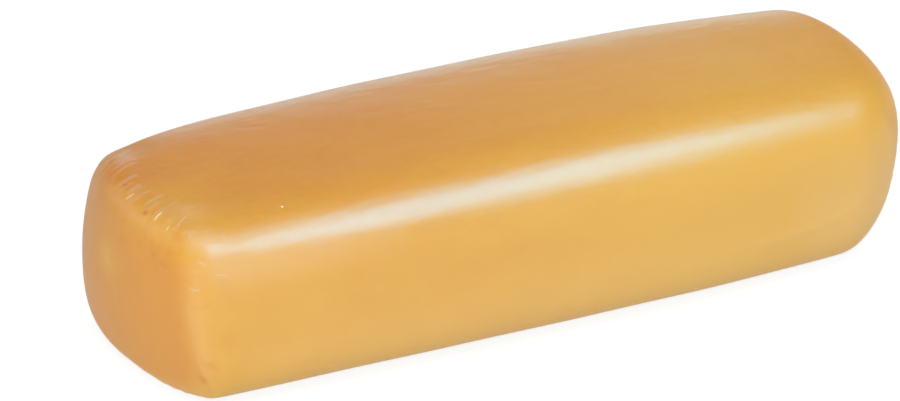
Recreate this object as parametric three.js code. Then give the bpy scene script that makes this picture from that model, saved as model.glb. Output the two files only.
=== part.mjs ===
// A loaf of smoked scamorza in tight clear film, lying on its base.
// Millimetres, +Z up. +X runs along the loaf and -Y is its front side.
// The origin lies on the base, under the middle of the loaf's box.

import * as THREE from 'three';

// Overall sizes of the loaf, measured at mid-length
const LOAF_LENGTH = 330;
const LOAF_WIDTH = 107.5;
const LOAF_HEIGHT = 80.5;

// Small swellings of the long faces
const TOP_CROWN = 1.5;
const SIDE_SWELL = 1;
const BASE_FLARE = 1.5;

// Depth of the rounded underside that the loaf's own weight presses flat
const FOOT_DEPTH = 0.6;

// How square the long edges are: a higher power gives a tighter edge.
// The top front edge is tight at the left end and soon softens to the right.
const TOP_FRONT_LEFT_SQUARENESS = 7;
const TOP_FRONT_RIGHT_SQUARENESS = 4.5;
const TOP_BACK_SQUARENESS = 5.2;
const BASE_SQUARENESS = 4.4;

// How late the long faces start to draw in towards the ends
const TAPER_POWER = 2.5;

// The form of each end:
// rounding is the radius where the end turns into the long faces,
// bulgeAcross and bulgeUp are how far its middle stands out past its edges,
// lean pushes its top out, skew its back, and twist winds it out of flat,
// topDrop and the three tapers are how far the long faces draw in there.
const LEFT_END = {
  rounding: 8.5,
  bulgeAcross: 14.5,
  bulgeUp: 5,
  lean: 0.5,
  skew: 6.5,
  twist: 4,
  topDrop: 4,
  backTaper: 7.5,
  frontTopTaper: 7.5,
  frontBaseTaper: 0,
};
const RIGHT_END = {
  rounding: 20.5,
  bulgeAcross: 12.5,
  bulgeUp: 5,
  lean: 4.5,
  skew: 0,
  twist: 0,
  topDrop: 7,
  backTaper: 4.5,
  frontTopTaper: 5.5,
  frontBaseTaper: 8,
};

// Fineness of the faceted skin
const COLUMNS = 80;
const CAP_ROWS = 6;
const ROUNDING_ROWS = 7;
const BODY_ROWS = 16;

const CHEESE_COLOUR = 0xdca253;
const FILM_ROUGHNESS = 0.28;

const halfLength = LOAF_LENGTH / 2;
const halfWidth = LOAF_WIDTH / 2;
const halfHeight = LOAF_HEIGHT / 2;

// The top front edge's squareness at a place along the loaf.
function topFrontSquareness(x) {
  const nearLeft = ((1 - x / halfLength) / 2) ** 2;
  return THREE.MathUtils.lerp(TOP_FRONT_RIGHT_SQUARENESS, TOP_FRONT_LEFT_SQUARENESS, nearLeft);
}

// A point of the squared-off oval section at x, both values between -1 and 1.
function sectionPoint(x, angle) {
  const across = Math.cos(angle);
  const upward = Math.sin(angle);
  const topPower = across > 0 ? TOP_BACK_SQUARENESS : topFrontSquareness(x);
  const power = upward < 0 ? BASE_SQUARENESS : topPower;
  const reach = (Math.abs(across) ** power + Math.abs(upward) ** power) ** (-1 / power);
  return { across: across * reach, upward: upward * reach };
}

// Rows of one end from its centre outwards. Each row is a section that is
// drawn in by inset and scaled, at a depth measured in from the end.
function endRows(end) {
  const rows = [];
  for (let i = 0; i < CAP_ROWS; i += 1) {
    rows.push({ depth: 0, inset: end.rounding, scale: i / CAP_ROWS });
  }
  for (let i = 0; i < ROUNDING_ROWS; i += 1) {
    const turn = (i / ROUNDING_ROWS) * (Math.PI / 2);
    const depth = end.rounding * (1 - Math.cos(turn));
    const inset = end.rounding * (1 - Math.sin(turn));
    rows.push({ depth, inset, scale: 1 });
  }
  return rows;
}

// All rows from the left end's centre to the right end's centre.
function loafRows() {
  const left = endRows(LEFT_END).map((row) => ({ ...row, x: row.depth - halfLength }));
  const right = endRows(RIGHT_END).map((row) => ({ ...row, x: halfLength - row.depth }));
  const bodyStart = LEFT_END.rounding - halfLength;
  const bodyEnd = halfLength - RIGHT_END.rounding;
  const body = [];
  for (let i = 0; i <= BODY_ROWS; i += 1) {
    const x = THREE.MathUtils.lerp(bodyStart, bodyEnd, i / BODY_ROWS);
    body.push({ x, inset: 0, scale: 1 });
  }
  return [...left, ...body, ...right.reverse()];
}

// Moves a point of the plain squared-off bar to its place on the real loaf.
function shapedPoint(x, y, z) {
  const along = x / halfLength;
  const across = y / halfWidth;
  const upward = z / halfHeight;
  const lift = (upward + 1) / 2;
  const end = along < 0 ? LEFT_END : RIGHT_END;
  const taper = Math.abs(along) ** TAPER_POWER;

  const bulge = end.bulgeAcross * across ** 2 + end.bulgeUp * upward ** 2;
  const tilt = end.lean * upward + end.skew * across - end.twist * across * upward;
  const frontTaper = THREE.MathUtils.lerp(end.frontBaseTaper, end.frontTopTaper, lift);
  const sideTaper = across > 0 ? end.backTaper : frontTaper;
  const sideShift = SIDE_SWELL * (1 - upward ** 2) - BASE_FLARE * upward - sideTaper * taper;
  const topShift = TOP_CROWN * (1 - across ** 2) - end.topDrop * taper;

  return new THREE.Vector3(
    x + along * Math.abs(along) * (tilt - bulge),
    y + across * sideShift,
    Math.max(z + lift * topShift, FOOT_DEPTH - halfHeight),
  );
}

// The closed skin: a ring of points for each row and one point at each end.
function loafGeometry() {
  const rows = loafRows();
  const points = [];
  for (const { x, inset, scale } of rows) {
    const ringSize = scale > 0 ? COLUMNS : 1;
    for (let column = 0; column < ringSize; column += 1) {
      const { across, upward } = sectionPoint(x, (column / COLUMNS) * 2 * Math.PI);
      const y = (halfWidth - inset) * across * scale;
      const z = (halfHeight - inset) * upward * scale;
      points.push(shapedPoint(x, y, z));
    }
  }

  const ringStart = (row) => (row === 0 ? 0 : 1 + (row - 1) * COLUMNS);
  const lastRow = rows.length - 1;
  const faces = [];
  for (let row = 0; row < lastRow; row += 1) {
    for (let column = 0; column < COLUMNS; column += 1) {
      const next = (column + 1) % COLUMNS;
      const here = ringStart(row);
      const beyond = ringStart(row + 1);
      if (row === 0) {
        faces.push(here, beyond + next, beyond + column);
      } else if (row === lastRow - 1) {
        faces.push(here + column, here + next, beyond);
      } else {
        faces.push(here + column, here + next, beyond + column);
        faces.push(here + next, beyond + next, beyond + column);
      }
    }
  }

  const geometry = new THREE.BufferGeometry().setFromPoints(points);
  geometry.setIndex(faces);
  return geometry;
}

// Puts the middle of the geometry's box over the origin, its base at height 0.
function standOnOrigin(geometry) {
  geometry.computeBoundingBox();
  const middle = geometry.boundingBox.getCenter(new THREE.Vector3());
  geometry.translate(-middle.x, -middle.y, -geometry.boundingBox.min.z);
  geometry.computeVertexNormals();
  return geometry;
}

const loafMaterial = new THREE.MeshStandardMaterial({
  color: CHEESE_COLOUR,
  roughness: FILM_ROUGHNESS,
  metalness: 0,
});

const loaf = new THREE.Mesh(standOnOrigin(loafGeometry()), loafMaterial);
loaf.name = 'scamorza_loaf';

const scamorza = new THREE.Group();
scamorza.add(loaf);

export default scamorza;
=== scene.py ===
"""A loaf of smoked scamorza sealed in tight clear film, on a pale floor in soft studio light.

Sizes are millimetres, and become metres when a mesh is made. +X runs along the loaf and -Y is its front.
A place on the skin is a run, the way along it from the middle of the left end to the middle of
the right end, and an angle round it in degrees: 0 is the back, 90 the top, 180 the front, 270 the base.
"""

import math
from dataclasses import dataclass

import bpy
import numpy as np
from mathutils import Matrix, Quaternion, Vector


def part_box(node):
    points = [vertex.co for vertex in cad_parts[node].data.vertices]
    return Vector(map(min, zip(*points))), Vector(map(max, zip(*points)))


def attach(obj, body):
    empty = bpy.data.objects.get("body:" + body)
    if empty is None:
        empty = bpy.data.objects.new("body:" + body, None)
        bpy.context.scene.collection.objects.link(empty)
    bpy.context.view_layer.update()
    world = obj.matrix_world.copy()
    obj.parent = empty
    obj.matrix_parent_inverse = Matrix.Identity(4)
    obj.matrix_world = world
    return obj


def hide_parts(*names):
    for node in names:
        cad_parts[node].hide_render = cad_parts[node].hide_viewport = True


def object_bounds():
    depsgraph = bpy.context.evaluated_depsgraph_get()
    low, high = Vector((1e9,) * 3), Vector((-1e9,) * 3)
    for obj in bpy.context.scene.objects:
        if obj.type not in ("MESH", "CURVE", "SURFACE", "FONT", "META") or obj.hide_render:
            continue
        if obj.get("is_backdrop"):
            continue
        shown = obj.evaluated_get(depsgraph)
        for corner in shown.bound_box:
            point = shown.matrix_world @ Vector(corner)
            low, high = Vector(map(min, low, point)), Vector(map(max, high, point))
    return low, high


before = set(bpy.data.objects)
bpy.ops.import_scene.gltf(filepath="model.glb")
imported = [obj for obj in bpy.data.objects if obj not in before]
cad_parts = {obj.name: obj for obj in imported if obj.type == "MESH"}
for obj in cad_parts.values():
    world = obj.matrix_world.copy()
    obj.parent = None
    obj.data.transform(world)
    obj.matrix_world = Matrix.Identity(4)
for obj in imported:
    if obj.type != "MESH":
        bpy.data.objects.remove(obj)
cad_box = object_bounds()

# Metres in a millimetre, and the seed of all random draws
MM = 0.001
SEED = 7

# The loaf's sizes, as in the solid that it replaces
LOAF_LENGTH = 330
LOAF_WIDTH = 107.5
LOAF_HEIGHT = 80.5
TOP_CROWN = 1.5
SIDE_SWELL = 1
BASE_FLARE = 1.5
FOOT_DEPTH = 0.6

# How late the long faces start to draw in towards the ends
TAPER_POWER = 2.5

# How square the long edges are: a higher power gives a tighter edge. The top front edge is tighter
# at the left end than in the solid, and a higher softening power relaxes it sooner to the right.
TOP_FRONT_LEFT_SQUARENESS = 9.5
TOP_FRONT_RIGHT_SQUARENESS = 4.5
TOP_BACK_SQUARENESS = 5.2
BASE_SQUARENESS = 4.4
EDGE_SOFTENING = 4

# How far the top of the front leans back at the left end, which the solid leaves out,
# and the powers by which that fades to the right and down the front
FRONT_LEAN = 2
FRONT_LEAN_FADE = 2
FRONT_LEAN_POWER = 4

HALF_LENGTH = LOAF_LENGTH / 2
HALF_WIDTH = LOAF_WIDTH / 2
HALF_HEIGHT = LOAF_HEIGHT / 2


@dataclass
class End:
    """The form of one end.

    Rounding is the radius where it turns into the long faces, and the bulges are how far its middle
    stands out past its edges. Lean pushes its top out, skew its back, and twist winds it out of flat.
    The drop and the tapers are how far the long faces draw in towards it.
    """

    rounding: float
    bulge_across: float
    bulge_up: float
    lean: float
    skew: float
    twist: float
    top_drop: float
    back_taper: float
    front_top_taper: float
    front_base_taper: float


LEFT_END = End(
    rounding=8.5,
    bulge_across=14.5,
    bulge_up=5,
    lean=0.5,
    skew=6.5,
    twist=4,
    top_drop=4,
    back_taper=7.5,
    front_top_taper=7.5,
    front_base_taper=0,
)
RIGHT_END = End(
    rounding=20.5,
    bulge_across=12.5,
    bulge_up=5,
    lean=4.5,
    skew=0,
    twist=0,
    top_drop=7,
    back_taper=4.5,
    front_top_taper=5.5,
    front_base_taper=8,
)

# The run over the face of an end, and the runs where each end's rim and the body start and stop
CAP_RUN = 40
LEFT_RIM = CAP_RUN
LEFT_BODY = LEFT_RIM + LEFT_END.rounding * math.pi / 2
BODY_LENGTH = LOAF_LENGTH - LEFT_END.rounding - RIGHT_END.rounding
RIGHT_BODY = LEFT_BODY + BODY_LENGTH
RIGHT_RIM = RIGHT_BODY + RIGHT_END.rounding * math.pi / 2
WHOLE_RUN = RIGHT_RIM + CAP_RUN

# The solid that the cheese and its film stand for
NODE = "scamorza_loaf"

# How far the cheese lies under the film
FILM_GAP = 0.5

# Fineness of the grids: start, end and spacing of each stretch of the run, and points round it.
# The stretch over the left end's edge, with its pleats, is the finest.
FILM_STRETCHES = (
    (0, 30, 2.6),
    (30, 72, 0.6),
    (72, RIGHT_BODY, 2.6),
    (RIGHT_BODY, RIGHT_RIM, 1.6),
    (RIGHT_RIM, WHOLE_RUN, 4),
)
FILM_COLUMNS = 440
CHEESE_STRETCHES = (
    (0, 36, 2),
    (36, 72, 0.7),
    (72, RIGHT_BODY, 2.8),
    (RIGHT_BODY, RIGHT_RIM, 1.6),
    (RIGHT_RIM, WHOLE_RUN, 4),
)
CHEESE_COLUMNS = 440

# Points lie further apart on the base and the back: where these start, as shares of the half height
# and the half width, and the share of their points that is kept
SPARSE_BELOW = -0.97
SPARSE_BEHIND = 0.97
SPARSE_SHARE = 0.4

# Angles at which the way round the section is measured, and the small step that normals are taken over
FINE_ANGLES = 4001
NORMAL_STEP = 0.05

# Softening of the skin along the run: the steps that each point is averaged over, and their weights
SOFTENING_STEPS = (-5, -2.5, 0, 2.5, 5)
SOFTENING_WEIGHTS = (1 / 16, 4 / 16, 6 / 16, 4 / 16, 1 / 16)

# Swells of the film, its finer ripples, and swells of the cheese: wavelengths and height
FILM_SWELLS = (30, 41, 55, 70, 90)
FILM_SWELL_HEIGHT = 0.08
FILM_RIPPLES = (10, 11.5, 13, 15, 17, 20, 23)
FILM_RIPPLE_HEIGHT = 0.035
CHEESE_SWELLS = (18, 25, 33, 47, 60)
CHEESE_SWELL_HEIGHT = 0.08

# Creases: steps along each, and how many half widths out it is worked out
CREASE_STEPS = 13
CREASE_REACH = 3

# Folds: steps along and points across each strip, and how far its sides sink into the film
FOLD_STEPS = 21
FOLD_SIDES = 9
FOLD_SINK = 0.04


# The skin


def top_front_squareness(x):
    """The top front edge is tight at the left end and soon softens to the right."""
    near_left = ((1 - x / HALF_LENGTH) / 2) ** EDGE_SOFTENING
    tightening = (TOP_FRONT_LEFT_SQUARENESS - TOP_FRONT_RIGHT_SQUARENESS) * near_left
    return TOP_FRONT_RIGHT_SQUARENESS + tightening


def section_point(x, angle):
    """A point of the squared-off oval section at x, both values between -1 and 1."""
    across = np.cos(angle)
    upward = np.sin(angle)
    top_power = np.where(across > 0, TOP_BACK_SQUARENESS, top_front_squareness(x))
    power = np.where(upward < 0, BASE_SQUARENESS, top_power)
    reach = (np.abs(across) ** power + np.abs(upward) ** power) ** (-1 / power)
    return across * reach, upward * reach


def by_end(along, name):
    """One value of the left or the right end, whichever half of the loaf a point is in."""
    return np.where(along < 0, getattr(LEFT_END, name), getattr(RIGHT_END, name))


def shaped_point(x, y, z):
    """Moves a point of the plain squared-off bar to its place on the real loaf."""
    along = x / HALF_LENGTH
    across = y / HALF_WIDTH
    upward = z / HALF_HEIGHT
    lift = (upward + 1) / 2
    taper = np.abs(along) ** TAPER_POWER

    bulge = by_end(along, "bulge_across") * across**2 + by_end(along, "bulge_up") * upward**2
    tilt = by_end(along, "lean") * upward + by_end(along, "skew") * across
    tilt -= by_end(along, "twist") * across * upward
    front_base = by_end(along, "front_base_taper")
    front_taper = front_base + (by_end(along, "front_top_taper") - front_base) * lift
    lean_fade = ((1 - along) / 2) ** FRONT_LEAN_FADE
    front_lean = FRONT_LEAN * lean_fade * np.maximum(upward, 0) ** FRONT_LEAN_POWER
    side_taper = np.where(across > 0, by_end(along, "back_taper"), front_taper)
    side_shift = SIDE_SWELL * (1 - upward**2) - BASE_FLARE * upward - side_taper * taper
    top_shift = TOP_CROWN * (1 - across**2) - by_end(along, "top_drop") * taper

    shaped_x = x + along * np.abs(along) * (tilt - bulge)
    shaped_y = y + across * (side_shift - np.where(across < 0, front_lean, 0))
    shaped_z = np.maximum(z + lift * top_shift, FOOT_DEPTH - HALF_HEIGHT)
    return np.stack([shaped_x, shaped_y, shaped_z], axis=-1)


def crisp_point(run, angle):
    """The point of the skin, its rims still crisp, at a run in millimetres and an angle in radians."""
    left_turn = np.clip((run - LEFT_RIM) / LEFT_END.rounding, 0, math.pi / 2)
    right_turn = np.clip((RIGHT_RIM - run) / RIGHT_END.rounding, 0, math.pi / 2)
    body = np.clip(run - LEFT_BODY, 0, BODY_LENGTH)
    x = LEFT_END.rounding * (1 - np.cos(left_turn)) + body + RIGHT_END.rounding * np.cos(right_turn)
    x = x - HALF_LENGTH
    inset = LEFT_END.rounding * (1 - np.sin(left_turn)) + RIGHT_END.rounding * (1 - np.sin(right_turn))
    scale = np.clip(np.minimum(run, WHOLE_RUN - run) / CAP_RUN, 0, 1)
    across, upward = section_point(x, angle)
    y = (HALF_WIDTH - inset) * across * scale
    z = (HALF_HEIGHT - inset) * upward * scale
    return shaped_point(x, y, z)


def skin_point(run, angle):
    """The point of the loaf's skin at a run in millimetres and an angle in radians."""
    steps = zip(SOFTENING_STEPS, SOFTENING_WEIGHTS)
    return sum(weight * crisp_point(run + step, angle) for step, weight in steps)


def skin_normal(run, angle):
    """The outward normal of the skin at a run in millimetres and an angle in radians."""
    turn = NORMAL_STEP / HALF_HEIGHT
    along = skin_point(run + NORMAL_STEP, angle) - skin_point(run - NORMAL_STEP, angle)
    around = skin_point(run, angle + turn) - skin_point(run, angle - turn)
    normal = np.cross(around, along)
    return normal / np.linalg.norm(normal, axis=-1, keepdims=True)


# The grids that the film and the cheese are made on


def stretch_runs(stretches):
    """Runs from end to end, each stretch with a spacing of its own."""
    runs = []
    for start, end, spacing in stretches:
        count = math.ceil((end - start) / spacing)
        runs.append(np.linspace(start, end, count, endpoint=False))
    return np.append(np.concatenate(runs), WHOLE_RUN)


def spread_angles(count):
    """Angles at even distances round the section, closer together on the top and the front."""
    angles = np.linspace(0, 2 * math.pi, FINE_ANGLES)
    across, upward = section_point(0, angles)
    ring = np.stack([HALF_WIDTH * across, HALF_HEIGHT * upward], axis=-1)
    lengths = np.linalg.norm(np.diff(ring, axis=0), axis=1)
    sparse = (upward[:-1] < SPARSE_BELOW) | (across[:-1] > SPARSE_BEHIND)
    lengths = np.where(sparse, lengths * SPARSE_SHARE, lengths)
    travelled = np.append(0, np.cumsum(lengths))
    return np.interp(np.linspace(0, travelled[-1], count, endpoint=False), travelled, angles)


def skin_offset():
    """What brings the skin to the place of the solid that it replaces."""
    runs = stretch_runs(CHEESE_STRETCHES)
    run, angle = np.meshgrid(runs, spread_angles(CHEESE_COLUMNS), indexing="ij")
    points = skin_point(run, angle).reshape(-1, 3)
    low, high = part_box(NODE)
    middle = np.array((low + high) / 2) / MM
    offset = middle - (points.min(axis=0) + points.max(axis=0)) / 2
    offset[2] = low.z / MM - points[:, 2].min()
    return offset


SKIN_OFFSET = skin_offset()


@dataclass
class Grid:
    """Places, points and outward normals of the skin: one ring for each run, and a point at each end."""

    run: np.ndarray
    angle: np.ndarray
    points: np.ndarray
    normals: np.ndarray
    poles: np.ndarray


def skin_grid(stretches, columns):
    """The grid of the skin with these stretches of the run and this many points round it."""
    run, angle = np.meshgrid(stretch_runs(stretches)[1:-1], spread_angles(columns), indexing="ij")
    poles = crisp_point(np.array([0, WHOLE_RUN]), np.zeros(2)) + SKIN_OFFSET
    return Grid(run, angle, skin_point(run, angle) + SKIN_OFFSET, skin_normal(run, angle), poles)


def mesh_object(name, points, faces):
    """A smooth mesh of these points in millimetres."""
    mesh = bpy.data.meshes.new(name)
    mesh.from_pydata((points * MM).tolist(), [], faces)
    mesh.polygons.foreach_set("use_smooth", np.ones(len(faces), dtype=bool))
    mesh.update()
    piece = bpy.data.objects.new(name, mesh)
    bpy.context.scene.collection.objects.link(piece)
    return piece


def grid_object(name, grid, relief):
    """A closed mesh of the grid, with its points raised along their normals by the relief."""
    rings, columns = relief.shape
    raised = grid.points + grid.normals * relief[..., None]
    raised[..., 2] = np.maximum(raised[..., 2], 0)
    end_relief = np.array([relief[0].mean(), relief[-1].mean()])
    outward = np.array([[-1, 0, 0], [1, 0, 0]])
    poles = grid.poles + end_relief[:, None] * outward
    points = np.concatenate([raised.reshape(-1, 3), poles])

    index = np.arange(rings * columns).reshape(rings, columns)
    here, beyond = index[:-1], index[1:]
    quads = np.stack([here, np.roll(here, -1, 1), np.roll(beyond, -1, 1), beyond], axis=-1)
    left_pole = np.full(columns, rings * columns)
    left = np.stack([left_pole, np.roll(index[0], -1), index[0]], axis=-1)
    right = np.stack([left_pole + 1, index[-1], np.roll(index[-1], -1)], axis=-1)
    return mesh_object(name, points, quads.reshape(-1, 4).tolist() + left.tolist() + right.tolist())


def point_values(piece, name, values):
    """Keeps one number for each point with the mesh, for its material to read."""
    attribute = piece.data.attributes.new(name, "FLOAT", "POINT")
    attribute.data.foreach_set("value", values.astype(np.float32))


def grid_values(piece, name, values):
    """Keeps one number for each grid point with the mesh, and the mean of the last ring at each end."""
    point_values(piece, name, np.append(values.ravel(), [values[0].mean(), values[-1].mean()]))


# Relief of the film and of the cheese under it


def unevenness(points, wavelengths, height, seed):
    """Slow seeded swells over the points, with the given wavelengths and overall height."""
    draw = np.random.default_rng(seed)
    total = np.zeros(points.shape[:-1])
    for wavelength in wavelengths:
        wave = draw.normal(size=3)
        wave *= 2 * math.pi / wavelength / np.linalg.norm(wave)
        total += np.sin(points @ wave + draw.uniform(0, 2 * math.pi))
    return height * total / math.sqrt(len(wavelengths))


@dataclass
class Lump:
    """A broad swelling of the loaf round a place, or with a negative height a hollow."""

    place: tuple
    radius: float
    height: float


LUMPS = (
    # The back corner of the left end is drawn in, and the back edge beside it stands up
    Lump((55.5, 52.6), 11, -1.55),
    Lump((88, 55), 33, 0.65),
)


def spot_shape(points, place, radius):
    """How strongly a round spot shows at each point: 1 at its place on the skin, fading to its sides."""
    run, angle = place
    distance = np.linalg.norm(points - skin_point(run, math.radians(angle)) - SKIN_OFFSET, axis=-1)
    return np.exp(-((distance / radius) ** 2))


def lump_relief(points):
    """How far the lumps raise each point."""
    return sum(lump.height * spot_shape(points, lump.place, lump.radius) for lump in LUMPS)


@dataclass
class Crease:
    """A line of the film along (run, angle) places, with its half width, height and whiteness."""

    path: tuple
    width: float
    height: float
    whiteness: float = 0


# Soft creases of the film, raised or, with a negative height, pressed in, and flat white bands of painted
# sheen, highlight and reflection
SOFT_CREASES = (
    # Painted sheen as a white band along the left end's top edge and down its front edge
    Crease(((46, 56), (46, 95), (46, 134)), 3.5, 0, 0.04),
    Crease(((47, 136), (46, 175), (46, 216)), 4, 0, 0.025),
    # Painted reflection as a white band on the front, below the left part of its top edge, where the
    # shine's tail runs
    Crease(((44, 141), (66, 146), (150, 145)), 8.5, 0, 0.04),
    # Painted light and reflection as a white band on the front near the right end, where its rim would
    # fall into shade
    Crease(((320, 200), (356, 193), (382, 166)), 22, 0, 0.036),
    # Painted highlight as white bands on the top beside the left end's front corner
    Crease(((56, 126), (68, 112)), 9, 0, 0.03),
    Crease(((49, 131), (61, 139)), 6, 0, 0.06),
    # Painted reflection as a white band along the top's back edge
    Crease(((75, 66), (140, 68.5), (210, 69), (330, 68)), 6, 0, 0.02),
    # Painted reflection of the floor as a white band along the front near the base
    Crease(((60, 205), (210, 207), (360, 205)), 14, 0, 0.018),
    # Thin dent across the top, near its back
    Crease(((104.5, 63.2), (117.5, 67.4), (122, 74.2)), 0.7, -0.25),
    # Squeezed lines along the top's back edge
    Crease(((192, 65.8), (200.5, 67.8)), 0.8, 0.1),
    Crease(((254, 77), (263, 72.4)), 0.9, 0.12),
    # Small ridges across the top front edge
    Crease(((66.8, 130.8), (63.6, 135.2)), 0.8, 0.12),
    Crease(((76.8, 133.2), (72.2, 141.4)), 0.8, 0.14),
    # Low ridge along the front near the base, its pale line partly painted light
    Crease(((297.5, 200.4), (343.6, 194.8), (362.8, 185.2)), 2.4, 0.28, 0.03),
    # Creases at the right end's front corner
    Crease(((355.2, 142.2), (366.8, 136.8)), 0.9, -0.2),
    Crease(((350.4, 131.8), (352.6, 134.8), (350.8, 138.4)), 1, 0.14),
    Crease(((372.8, 167.2), (370.4, 174.8)), 0.9, -0.2),
    # Bumps down the left end's front edge
    Crease(((47, 159.5), (48.6, 164)), 2.2, 0.3),
    Crease(((49, 170.5), (50.2, 174.5)), 2, 0.28),
    Crease(((51, 176), (53.4, 178.4)), 1.8, 0.2),
    # Pinch at the left end's front foot
    Crease(((42.6, 202.8), (46.4, 211.2), (48, 219)), 1.5, 0.35),
    Crease(((46.6, 200.4), (48.6, 204.4)), 1.8, -0.3),
)

# Sharp folds of the film, which stand up from it, their white crests partly painted glints
SHARP_FOLDS = (
    # Pleats over the left end's top edge that catch the light
    Crease(((47.8, 95.8), (53, 94.4)), 0.5, 0.26, 0.2),
    Crease(((48.4, 117.8), (55, 114.4)), 0.5, 0.28, 0.22),
    Crease(((47.4, 125.2), (50.8, 123.2)), 0.6, 0.24, 0.14),
    # Fainter ones that run on over the top
    Crease(((52, 125.2), (63.2, 119.4)), 0.45, 0.15, 0.06),
    Crease(((55.6, 113.8), (64.4, 109)), 0.45, 0.15, 0.05),
    Crease(((52.6, 106.6), (61.2, 102.6)), 0.45, 0.13, 0.04),
    Crease(((60.2, 115), (70.6, 116.8)), 0.4, 0.1, 0.05),
    # Bent fold and straight fold at the front corner
    Crease(((49.6, 133), (53, 129.2), (57.2, 129.8)), 0.5, 0.15, 0.05),
    Crease(((51.4, 136.4), (61.8, 136.2)), 0.5, 0.15, 0.06),
    # Short folds below that corner, on the front
    Crease(((48.2, 139.4), (52, 143.4)), 0.8, 0.15, 0.05),
    Crease(((46.8, 143.6), (49, 145)), 0.7, 0.12, 0.04),
    Crease(((44.8, 150.6), (46.6, 152.6), (49.8, 153.2)), 0.7, 0.16, 0.06),
    Crease(((55.4, 147.4), (62.2, 149)), 0.5, 0.1, 0.03),
    # Fan at the back corner
    Crease(((50.6, 64.4), (56.2, 63.4)), 0.4, 0.17, 0.1),
    Crease(((55.2, 61.2), (62.6, 61)), 0.4, 0.15, 0.08),
    Crease(((45.8, 68.4), (49.4, 68.2)), 0.4, 0.15, 0.08),
    Crease(((47.8, 63.6), (52.6, 63)), 0.4, 0.17, 0.1),
    Crease(((44.4, 51.6), (58.2, 54.6)), 0.45, 0.14, 0.06),
    Crease(((45.4, 56.4), (55.6, 60.2)), 0.45, 0.14, 0.06),
    Crease(((50, 62), (62, 61.2)), 0.4, 0.12, 0.05),
    # Two white specks, on the top and on the front
    Crease(((99.2, 126.4), (99.8, 126.8)), 0.4, 0.3, 0.9),
    Crease(((226.2, 178.8), (226.8, 179.2)), 0.35, 0.2, 0.5),
)


@dataclass
class PleatRow:
    """A row of small pleats over the edge of an end, from one angle to another.

    Start, length, width and height are the ranges that each pleat's own values are drawn from.
    Slant is how many degrees round the loaf a pleat turns for each millimetre of its run.
    """

    count: int
    angles: tuple
    start: tuple
    length: tuple
    slant: float
    width: tuple
    height: tuple


# Count, angles, start, length, slant, width and height of each row
PLEAT_ROWS = (
    # Left end: its top edge, its front edge, its base edge and its back edge
    PleatRow(24, (60, 130), (45, 49), (6, 14), -0.45, (0.7, 1.1), (0.1, 0.28)),
    PleatRow(12, (140, 205), (43, 46), (3, 7), 0.4, (0.8, 1.4), (0.03, 0.1)),
    PleatRow(26, (228, 312), (44, 48), (4, 9), 0.3, (1.2, 2), (0.1, 0.25)),
    PleatRow(22, (-46, 50), (44, 48), (4, 9), -0.3, (1.2, 2), (0.1, 0.25)),
    # Right end: its top edge, its front edge, its base edge and its back edge
    PleatRow(14, (55, 128), (372, 380), (5, 12), 0.3, (1.2, 1.8), (0.05, 0.14)),
    PleatRow(8, (140, 205), (376, 382), (5, 10), -0.3, (1.2, 1.8), (0.05, 0.14)),
    PleatRow(22, (228, 312), (368, 378), (5, 12), -0.3, (1.6, 2.4), (0.1, 0.25)),
    PleatRow(18, (-46, 50), (368, 378), (5, 12), 0.3, (1.6, 2.4), (0.1, 0.25)),
)

# How many degrees a pleat strays from its even place, and how white it is for each millimetre of height,
# a whiteness that is partly painted glint
PLEAT_SCATTER = 1.5
PLEAT_WHITENESS = 0.25

# Short wrinkles along the top's back edge: how many, and the ranges of their run, angle, length,
# change of angle, width and height
WRINKLE_COUNT = 60
WRINKLE_RUNS = (75, 340)
WRINKLE_ANGLES = (54, 66)
WRINKLE_LENGTHS = (5, 14)
WRINKLE_TURNS = (-0.5, 3)
WRINKLE_WIDTHS = (0.6, 1)
WRINKLE_HEIGHTS = (-0.09, 0.09)


def row_creases(row, draw):
    """The pleats of one row, each with its own place, length, width and height."""
    for angle in np.linspace(*row.angles, row.count):
        angle += draw.normal(0, PLEAT_SCATTER)
        start = draw.uniform(*row.start)
        length = draw.uniform(*row.length)
        path = ((start, angle), (start + length, angle + row.slant * length))
        height = draw.uniform(*row.height)
        yield Crease(path, draw.uniform(*row.width), height, PLEAT_WHITENESS * height)


def wrinkle(draw):
    """One short wrinkle along the top's back edge."""
    start = draw.uniform(*WRINKLE_RUNS)
    angle = draw.uniform(*WRINKLE_ANGLES)
    end = start + draw.uniform(*WRINKLE_LENGTHS)
    end_angle = angle + draw.uniform(*WRINKLE_TURNS)
    path = ((start, angle), (end, end_angle))
    return Crease(path, draw.uniform(*WRINKLE_WIDTHS), draw.uniform(*WRINKLE_HEIGHTS))


def soft_creases():
    """All soft creases of the film, with the pleats of every row and the wrinkles."""
    draw = np.random.default_rng(SEED)
    pleats = [crease for row in PLEAT_ROWS for crease in row_creases(row, draw)]
    return list(SOFT_CREASES) + pleats + [wrinkle(draw) for _ in range(WRINKLE_COUNT)]


def crease_places(crease, steps):
    """Even steps along a crease: runs, angles in radians, and the share of its length covered."""
    runs, angles = np.array(crease.path, dtype=float).T
    share = np.linspace(0, 1, steps)
    stops = np.linspace(0, 1, len(runs))
    return np.interp(share, stops, runs), np.interp(share, stops, np.radians(angles)), share


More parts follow.
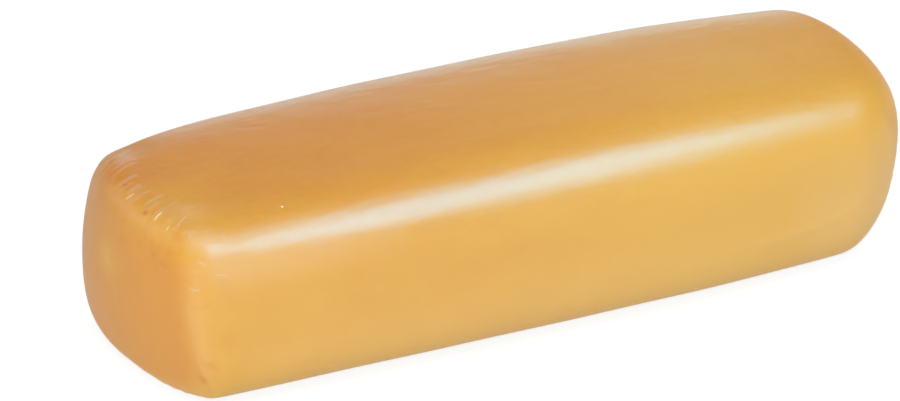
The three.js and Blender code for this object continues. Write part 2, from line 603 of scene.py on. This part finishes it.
def crease_shape(points, crease):
    """How strongly a crease shows at each point: 1 at its middle, fading to its sides and its tips."""
    run, angle, _ = crease_places(crease, CREASE_STEPS)
    line = skin_point(run, angle) + SKIN_OFFSET
    reach = CREASE_REACH * crease.width
    near = ((points > line.min(axis=0) - reach) & (points < line.max(axis=0) + reach)).all(axis=-1)
    close = points[near]

    nearest = np.full(len(close), np.inf)
    share = np.zeros(len(close))
    for step, (start, end) in enumerate(zip(line[:-1], line[1:])):
        segment = end - start
        place = np.clip((close - start) @ segment / (segment @ segment), 0, 1)
        distance = np.linalg.norm(close - start - place[:, None] * segment, axis=1)
        share = np.where(distance < nearest, (step + place) / (CREASE_STEPS - 1), share)
        nearest = np.minimum(nearest, distance)

    shape = np.zeros(points.shape[:-1])
    shape[near] = np.exp(-((nearest / crease.width) ** 2)) * np.sqrt(np.sin(math.pi * share))
    return shape


def crease_relief(points):
    """The relief and the whiteness of all soft creases at points of the skin."""
    relief = np.zeros(points.shape[:-1])
    whiteness = np.zeros(points.shape[:-1])
    for crease in soft_creases():
        shape = crease_shape(points, crease)
        relief += crease.height * shape
        whiteness = np.maximum(whiteness, crease.whiteness * shape)
    return relief, whiteness


def film_relief(points):
    """The film's relief and whiteness at points of the skin."""
    relief, whiteness = crease_relief(points)
    relief += lump_relief(points)
    relief += unevenness(points, FILM_SWELLS, FILM_SWELL_HEIGHT, SEED)
    relief += unevenness(points, FILM_RIPPLES, FILM_RIPPLE_HEIGHT, SEED)
    return relief, whiteness


def cheese_relief(points):
    """The cheese's relief at points of the skin: the film's creases have pressed into it."""
    relief, _ = crease_relief(points)
    relief += lump_relief(points)
    relief += unevenness(points, CHEESE_SWELLS, CHEESE_SWELL_HEIGHT, SEED)
    return relief - FILM_GAP


def fold_strip(fold):
    """The points and the whiteness of one sharp fold: a strip with a rounded crest and sunken sides."""
    run, angle, share = crease_places(fold, FOLD_STEPS)
    middle = skin_point(run, angle) + SKIN_OFFSET
    normal = skin_normal(run, angle)
    relief, _ = film_relief(middle)
    along = np.gradient(middle, axis=0)
    across = np.cross(normal, along)
    across /= np.linalg.norm(across, axis=-1, keepdims=True)

    side = np.linspace(-1, 1, FOLD_SIDES)
    taper = np.sqrt(np.sin(math.pi * share))[:, None]
    crest = taper * (1 - side**2) ** 2
    sideways = fold.width * taper * side
    upward = relief[:, None] + fold.height * crest - FOLD_SINK
    points = middle[:, None] + across[:, None] * sideways[..., None]
    points += normal[:, None] * upward[..., None]
    return points, fold.whiteness * crest


# Materials

# The middle of the noise texture's range
NOISE_MIDDLE = 0.5


def new_material(name):
    """An empty node material, with its nodes, its links and its output."""
    material = bpy.data.materials.new(name)
    material.use_nodes = True
    tree = material.node_tree
    tree.nodes.clear()
    return material, tree, tree.nodes.new("ShaderNodeOutputMaterial")


def point_attribute(tree, name):
    """The value that the mesh keeps for its points under this name."""
    node = tree.nodes.new("ShaderNodeAttribute")
    node.attribute_name = name
    return node.outputs["Fac"]


def arithmetic(tree, operation, first, second):
    """The sum, product or other operation of a socket and a socket or number."""
    node = tree.nodes.new("ShaderNodeMath")
    node.operation = operation
    for socket, value in zip(node.inputs, (first, second)):
        if isinstance(value, (int, float)):
            socket.default_value = value
        else:
            tree.links.new(value, socket)
    return node.outputs["Value"]


def mixed_colour(tree, factor, first, second):
    """The first colour turning into the second as the factor rises. The first may be a socket."""
    node = tree.nodes.new("ShaderNodeMix")
    node.data_type = "RGBA"
    colours = [socket for socket in node.inputs if socket.type == "RGBA"]
    tree.links.new(factor, node.inputs["Factor"])
    if isinstance(first, tuple):
        colours[0].default_value = first
    else:
        tree.links.new(first, colours[0])
    colours[1].default_value = second
    return [socket for socket in node.outputs if socket.type == "RGBA"][0]


def stretched_noise(tree, size, detail):
    """Noise between -0.5 and 0.5 whose blotches have this size in millimetres along X, Y and Z."""
    coordinates = tree.nodes.new("ShaderNodeTexCoord")
    mapping = tree.nodes.new("ShaderNodeMapping")
    mapping.inputs["Scale"].default_value = [1 / (side * MM) for side in size]
    noise = tree.nodes.new("ShaderNodeTexNoise")
    noise.inputs["Scale"].default_value = 1
    noise.inputs["Detail"].default_value = detail
    tree.links.new(coordinates.outputs["Object"], mapping.inputs["Vector"])
    tree.links.new(mapping.outputs["Vector"], noise.inputs["Vector"])
    return arithmetic(tree, "SUBTRACT", noise.outputs["Fac"], NOISE_MIDDLE)


# The cheese's colour where smoke and painted shade are faintest, where they are deepest, and in its
# pores, and its finish
CHEESE_COLOUR = (0.395, 0.221, 0.028, 1)
SMOKED_AND_SHADED_COLOUR = (0.34, 0.126, 0.008, 1)
PORE_COLOUR = (0.27, 0.092, 0.005, 1)
CHEESE_ROUGHNESS = 0.5
CHEESE_SPECULAR = 0.2

# Pores of the cheese: place and radius of each, how many radii out its soft edge ends, and its depth
PORES = (
    ((32, 108.4), 0.9),
    ((17.5, 104.6), 0.8),
    ((35.5, 130), 0.8),
    ((35.5, 135.8), 0.9),
    ((49.6, 110.4), 1.1),
    ((51.8, 83.8), 1),
)
PORE_EDGE = 2
PORE_DEPTH = 0.9

# Mottling of the cheese: size and detail of its blotches and flecks, and how far they brown or pale it
BLOTCH_SIZE = (28, 13, 13)
BLOTCH_DETAIL = 2
BLOTCH_DEPTH = 0.3
FLECK_SIZE = (4, 2, 2)
FLECK_DETAIL = 3
FLECK_DEPTH = 0.5


def pore_depth(tree):
    """How deep in a pore each place of the cheese is: deepest in the middle, 0 outside."""
    coordinates = tree.nodes.new("ShaderNodeTexCoord").outputs["Object"]
    deepest = None
    for (run, angle), radius in PORES:
        middle = skin_point(run, math.radians(angle)) + SKIN_OFFSET
        distance = tree.nodes.new("ShaderNodeVectorMath")
        distance.operation = "DISTANCE"
        distance.inputs[1].default_value = middle * MM
        tree.links.new(coordinates, distance.inputs[0])
        depth = tree.nodes.new("ShaderNodeMapRange")
        depth.interpolation_type = "SMOOTHSTEP"
        depth.inputs["From Min"].default_value = PORE_EDGE * radius * MM
        depth.inputs["From Max"].default_value = 0
        depth.inputs["To Max"].default_value = PORE_DEPTH
        tree.links.new(distance.outputs["Value"], depth.inputs["Value"])
        found = depth.outputs["Result"]
        deepest = found if deepest is None else arithmetic(tree, "MAXIMUM", deepest, found)
    return deepest


def cheese_material():
    """Amber smoked cheese, browner where the smoke reached it and where shade is painted, paler where
    light is painted, mottled and faintly porous.
    """
    material, tree, output = new_material("smoked_cheese")
    shader = tree.nodes.new("ShaderNodeBsdfPrincipled")
    blotch_noise = stretched_noise(tree, BLOTCH_SIZE, BLOTCH_DETAIL)
    fleck_noise = stretched_noise(tree, FLECK_SIZE, FLECK_DETAIL)
    blotches = arithmetic(tree, "MULTIPLY", blotch_noise, BLOTCH_DEPTH)
    flecks = arithmetic(tree, "MULTIPLY", fleck_noise, FLECK_DEPTH)
    mottling = arithmetic(tree, "ADD", blotches, flecks)
    # The smoke attribute also holds painted shade on the top, back and ends, and painted light on the
    # left rim and parts of the top and front
    smoke_and_painted_light = arithmetic(tree, "ADD", point_attribute(tree, "smoke_and_painted_light"), mottling)
    colour = mixed_colour(tree, smoke_and_painted_light, CHEESE_COLOUR, SMOKED_AND_SHADED_COLOUR)
    colour = mixed_colour(tree, pore_depth(tree), colour, PORE_COLOUR)
    tree.links.new(colour, shader.inputs["Base Color"])
    shader.inputs["Roughness"].default_value = CHEESE_ROUGHNESS
    shader.inputs["Specular IOR Level"].default_value = CHEESE_SPECULAR
    tree.links.new(shader.outputs["BSDF"], output.inputs["Surface"])
    return material


# Gloss of the film: the share of light that it throws straight back, seen face on and seen edge on,
# how late that rises towards its edges, and its roughness
FILM_MIRROR = 0.05
FILM_EDGE_MIRROR = 0.13
FILM_EDGE_POWER = 5
FILM_ROUGHNESS = 0.37

# Fine stretch lines of the film: their size, detail and height
STRETCH_LINE_SIZE = (9, 3.5, 3.5)
STRETCH_LINE_DETAIL = 2
STRETCH_LINE_HEIGHT = 0.3

# The film's white, on its pleats, partly painted glints, and on its bands of painted sheen and reflection
FILM_WHITE = (0.9, 0.88, 0.84, 1)


def film_material():
    """Clear glossy film with fine stretch lines, whiter along its pleats and along bands of painted sheen
    and reflection.
    """
    material, tree, output = new_material("clear_film")
    clear = tree.nodes.new("ShaderNodeBsdfTransparent")
    gloss = tree.nodes.new("ShaderNodeBsdfGlossy")
    gloss.inputs["Roughness"].default_value = FILM_ROUGHNESS
    bump = tree.nodes.new("ShaderNodeBump")
    bump.inputs["Distance"].default_value = STRETCH_LINE_HEIGHT * MM
    stretch_lines = stretched_noise(tree, STRETCH_LINE_SIZE, STRETCH_LINE_DETAIL)
    tree.links.new(stretch_lines, bump.inputs["Height"])
    tree.links.new(bump.outputs["Normal"], gloss.inputs["Normal"])

    facing = tree.nodes.new("ShaderNodeLayerWeight").outputs["Facing"]
    mirror = tree.nodes.new("ShaderNodeMapRange")
    mirror.inputs["To Min"].default_value = FILM_MIRROR
    mirror.inputs["To Max"].default_value = FILM_EDGE_MIRROR
    tree.links.new(arithmetic(tree, "POWER", facing, FILM_EDGE_POWER), mirror.inputs["Value"])
    skin = tree.nodes.new("ShaderNodeMixShader")
    tree.links.new(mirror.outputs["Result"], skin.inputs["Fac"])
    tree.links.new(clear.outputs["BSDF"], skin.inputs[1])
    tree.links.new(gloss.outputs["BSDF"], skin.inputs[2])

    white = tree.nodes.new("ShaderNodeBsdfDiffuse")
    white.inputs["Color"].default_value = FILM_WHITE
    pleated = tree.nodes.new("ShaderNodeMixShader")
    tree.links.new(point_attribute(tree, "whiteness"), pleated.inputs["Fac"])
    tree.links.new(skin.outputs["Shader"], pleated.inputs[1])
    tree.links.new(white.outputs["BSDF"], pleated.inputs[2])
    tree.links.new(pleated.outputs["Shader"], output.inputs["Surface"])
    return material


# Pieces


def place_piece(piece, material):
    """Gives a piece its material, and says that it rides with the loaf and stands for its solid."""
    piece.data.materials.append(material)
    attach(piece, "root")
    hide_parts(NODE)


def film_piece(material):
    """The clear film, drawn tight over the cheese, with its pleats and soft creases."""
    grid = skin_grid(FILM_STRETCHES, FILM_COLUMNS)
    relief, whiteness = film_relief(grid.points)
    film = grid_object("film", grid, relief)
    grid_values(film, "whiteness", whiteness)
    place_piece(film, material)


def fold_piece(material):
    """The sharp folds that stand up from the film."""
    strips = [fold_strip(fold) for fold in SHARP_FOLDS]
    points = np.concatenate([strip.reshape(-1, 3) for strip, _ in strips])
    index = np.arange(len(points)).reshape(len(strips), FOLD_STEPS, FOLD_SIDES)
    corners = [index[:, :-1, :-1], index[:, 1:, :-1], index[:, 1:, 1:], index[:, :-1, 1:]]
    folds = mesh_object("film_folds", points, np.stack(corners, axis=-1).reshape(-1, 4).tolist())
    point_values(folds, "whiteness", np.concatenate([whiteness.ravel() for _, whiteness in strips]))
    place_piece(folds, material)


@dataclass
class Patch:
    """A round patch of the cheese, browner than its surroundings, or paler with a negative depth."""

    place: tuple
    radius: float
    depth: float


PATCHES = (
    # Behind the pleats on the left end's top edge, and beside its front corner
    Patch((54, 72), 8, 0.4),
    Patch((49.8, 128), 3, 0.25),
    # Pale patches on the top beside that corner, where the glow of the highlight is painted, and on the
    # left end
    Patch((60, 115), 16, -0.24),
    Patch((15, 95), 7, -0.4),
    # The left end's front foot
    Patch((57.8, 185.6), 4, 0.18),
    Patch((47.6, 202.4), 2.2, 0.3),
    Patch((44.8, 213.8), 1.8, 0.7),
    # The right end's front corner
    Patch((373.6, 140.4), 5, 0.4),
    # The top's left half is browner, and the right half is paler on its top and its front, painted light
    # where the right end is more brightly lit
    Patch((120, 105), 55, 0.12),
    Patch((310, 90), 90, -0.3),
    Patch((340, 185), 60, -0.2),
)

# How deeply smoke and painted shade brown the cheese at angles round the loaf, the top and back painted
# darker than the front, and on its ends, and how far in from the ends' rims their own depth fades out
SMOKE_AND_SHADE_ANGLES = (0, 40, 62, 88, 115, 140, 230, 320, 360)
SMOKE_AND_SHADE_DEPTHS = (0.6, 0.95, 0.95, 0.78, 0.66, 0.24, 0.12, 0.4, 0.6)
END_SMOKE_AND_SHADE = 0.75
END_SMOKE_AND_SHADE_FADE = 14

# The left end's rim is paler with painted light: the middle and the half width of the pale band, and how
# far it pales
PAINTED_LIGHT_RIM = 46
PAINTED_LIGHT_RIM_WIDTH = 5
PAINTED_LIGHT_RIM_DEPTH = 0.15

# Streaks down the left end: wavelengths, how much they change along X, Y and Z, and depth
END_STREAKS = (3, 3.8, 4.6, 6)
END_STREAK_CHANGE = (0, 1, 0.1)
END_STREAK_DEPTH = 0.04


def smoke_and_painted_light_depth(grid):
    """How deeply smoke and painted shade brown the cheese at each point of its grid, with painted light
    paling its left rim and parts of its top and front.
    """
    smoke_and_painted_light = np.interp(np.degrees(grid.angle), SMOKE_AND_SHADE_ANGLES, SMOKE_AND_SHADE_DEPTHS)
    from_end = np.minimum(grid.run - LEFT_RIM, RIGHT_RIM - grid.run)
    on_end = np.clip(1 - from_end / END_SMOKE_AND_SHADE_FADE, 0, 1)
    smoke_and_painted_light += (END_SMOKE_AND_SHADE - smoke_and_painted_light) * on_end
    # Painted light along the left end's rim
    smoke_and_painted_light -= PAINTED_LIGHT_RIM_DEPTH * np.exp(-(((grid.run - PAINTED_LIGHT_RIM) / PAINTED_LIGHT_RIM_WIDTH) ** 2))
    streaks = unevenness(grid.points * END_STREAK_CHANGE, END_STREAKS, END_STREAK_DEPTH, SEED)
    smoke_and_painted_light += np.where(grid.run < LEFT_BODY, streaks * on_end, 0)
    for patch in PATCHES:
        smoke_and_painted_light += patch.depth * spot_shape(grid.points, patch.place, patch.radius)
    return smoke_and_painted_light


def cheese_piece():
    """The cheese, just under the film."""
    grid = skin_grid(CHEESE_STRETCHES, CHEESE_COLUMNS)
    cheese = grid_object("cheese", grid, cheese_relief(grid.points))
    grid_values(cheese, "smoke_and_painted_light", smoke_and_painted_light_depth(grid))
    place_piece(cheese, cheese_material())


# Studio


@dataclass
class Softbox:
    """A flat rectangular light that faces the loaf, with an even radiance over its face.

    Azimuth and elevation are the way to it, and roll turns it about that way.
    It may light only what is matte, or show only in gloss.
    """

    azimuth: float
    elevation: float
    distance: float
    width: float
    height: float
    roll: float
    radiance: float
    colour: tuple = (1, 1, 1)
    lights_matte: bool = True
    shows_in_gloss: bool = True


# Azimuth, elevation, distance, width, height, roll and radiance of each light. Two cool ones show only in
# gloss: the shine lies along the top front edge, and the haze on the top's back edge.
SOFTBOXES = {
    "key": Softbox(23, 52, 1000, 350, 1270, -42, 3.7, shows_in_gloss=False),
    "shine": Softbox(21.3, 50.8, 900, 317, 1090, -40.7, 18.1, (0, 0.57, 1), lights_matte=False),
    "front": Softbox(-48, 6, 1600, 2000, 420, 0, 12.6, shows_in_gloss=False),
    "top": Softbox(-35, 66, 1200, 1500, 1500, 0, 2.7, shows_in_gloss=False),
    "right": Softbox(74, 6, 900, 700, 500, 0, 5.4, shows_in_gloss=False),
    "backdrop": Softbox(160, 42, 2100, 800, 950, 0, 9, shows_in_gloss=False),
    "haze": Softbox(160, 8, 2000, 760, 860, 0, 5.4, (0.3, 0.8, 1), lights_matte=False),
}

# The even light of the room
ROOM_COLOUR = (1, 1, 1, 1)
ROOM_RADIANCE = 0.3

# The floor: half its width, how far it lies below the loaf, its colour, and the glow that keeps it pale
FLOOR_HALF = 15000
FLOOR_DROP = 0.3
FLOOR_COLOUR = (0.15, 0.15, 0.15, 1)
FLOOR_GLOW = 0.86

# The camera: the way to it from its target, at the photograph's viewing angle, and its lens
CAMERA_AZIMUTH = -22.22
CAMERA_ELEVATION = 31.74
CAMERA_DISTANCE = 3000
CAMERA_TARGET = (-17.82, 5.83, 37.57)
CAMERA_LENS = 303.6
CAMERA_SENSOR = 36


def direction(azimuth, elevation):
    """The unit vector that points this way, from azimuth 0 at the front and turning to the right."""
    turn, rise = math.radians(azimuth), math.radians(elevation)
    return Vector((math.sin(turn) * math.cos(rise), -math.cos(turn) * math.cos(rise), math.sin(rise)))


def place_softbox(name, softbox):
    """Sets up one softbox."""
    data = bpy.data.lights.new(name, "AREA")
    data.shape = "RECTANGLE"
    data.size = softbox.width * MM
    data.size_y = softbox.height * MM
    data.energy = softbox.radiance * math.pi * data.size * data.size_y
    data.color = softbox.colour
    light = bpy.data.objects.new(name, data)
    light.visible_camera = False
    light.visible_diffuse = softbox.lights_matte
    light.visible_glossy = softbox.shows_in_gloss
    back = direction(softbox.azimuth, softbox.elevation)
    light.location = back * softbox.distance * MM
    turned = back.to_track_quat("Z", "Y") @ Quaternion((0, 0, 1), math.radians(softbox.roll))
    light.rotation_euler = turned.to_euler()
    bpy.context.scene.collection.objects.link(light)


def studio_floor():
    """A wide pale floor just under the loaf."""
    half = FLOOR_HALF * MM
    mesh = bpy.data.meshes.new("floor")
    corners = [(-half, -half, 0), (half, -half, 0), (half, half, 0), (-half, half, 0)]
    mesh.from_pydata(corners, [], [(0, 1, 2, 3)])
    floor = bpy.data.objects.new("floor", mesh)
    floor.location.z = -FLOOR_DROP * MM
    bpy.context.scene.collection.objects.link(floor)
    material, tree, output = new_material("pale_floor")
    matte = tree.nodes.new("ShaderNodeBsdfDiffuse")
    matte.inputs["Color"].default_value = FLOOR_COLOUR
    glow = tree.nodes.new("ShaderNodeEmission")
    glow.inputs["Strength"].default_value = FLOOR_GLOW
    both = tree.nodes.new("ShaderNodeAddShader")
    tree.links.new(matte.outputs["BSDF"], both.inputs[0])
    tree.links.new(glow.outputs["Emission"], both.inputs[1])
    tree.links.new(both.outputs["Shader"], output.inputs["Surface"])
    # So wide a floor is a poor lamp to sample, so its glow is only found by bounces
    material.cycles.emission_sampling = "NONE"
    mesh.materials.append(material)
    floor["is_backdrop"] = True


def studio_world():
    """Even dim surroundings."""
    world = bpy.data.worlds.new("studio")
    world.use_nodes = True
    background = world.node_tree.nodes["Background"]
    background.inputs["Color"].default_value = ROOM_COLOUR
    background.inputs["Strength"].default_value = ROOM_RADIANCE
    bpy.context.scene.world = world


def camera():
    """The camera at the photograph's viewing angle."""
    data = bpy.data.cameras.new("camera")
    data.lens = CAMERA_LENS
    data.sensor_width = CAMERA_SENSOR
    eye = bpy.data.objects.new("camera", data)
    back = direction(CAMERA_AZIMUTH, CAMERA_ELEVATION)
    right = Vector((0, 0, 1)).cross(back).normalized()
    up = back.cross(right)
    place = Vector(CAMERA_TARGET) + back * CAMERA_DISTANCE
    turned = Matrix((right, up, back)).transposed().to_4x4()
    eye.matrix_world = Matrix.Translation(place * MM) @ turned
    bpy.context.scene.collection.objects.link(eye)
    bpy.context.scene.camera = eye


camera()
studio_floor()
studio_world()
for softbox_name, softbox in SOFTBOXES.items():
    place_softbox(softbox_name, softbox)
bpy.context.scene.view_settings.view_transform = "Standard"
cheese_piece()
clear_film = film_material()
film_piece(clear_film)
fold_piece(clear_film)

# The solid's box and the visual model's, to be compared
boxes = {"cad": cad_box, "visual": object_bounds()}
{name: [list(corner) for corner in box] for name, box in boxes.items()}
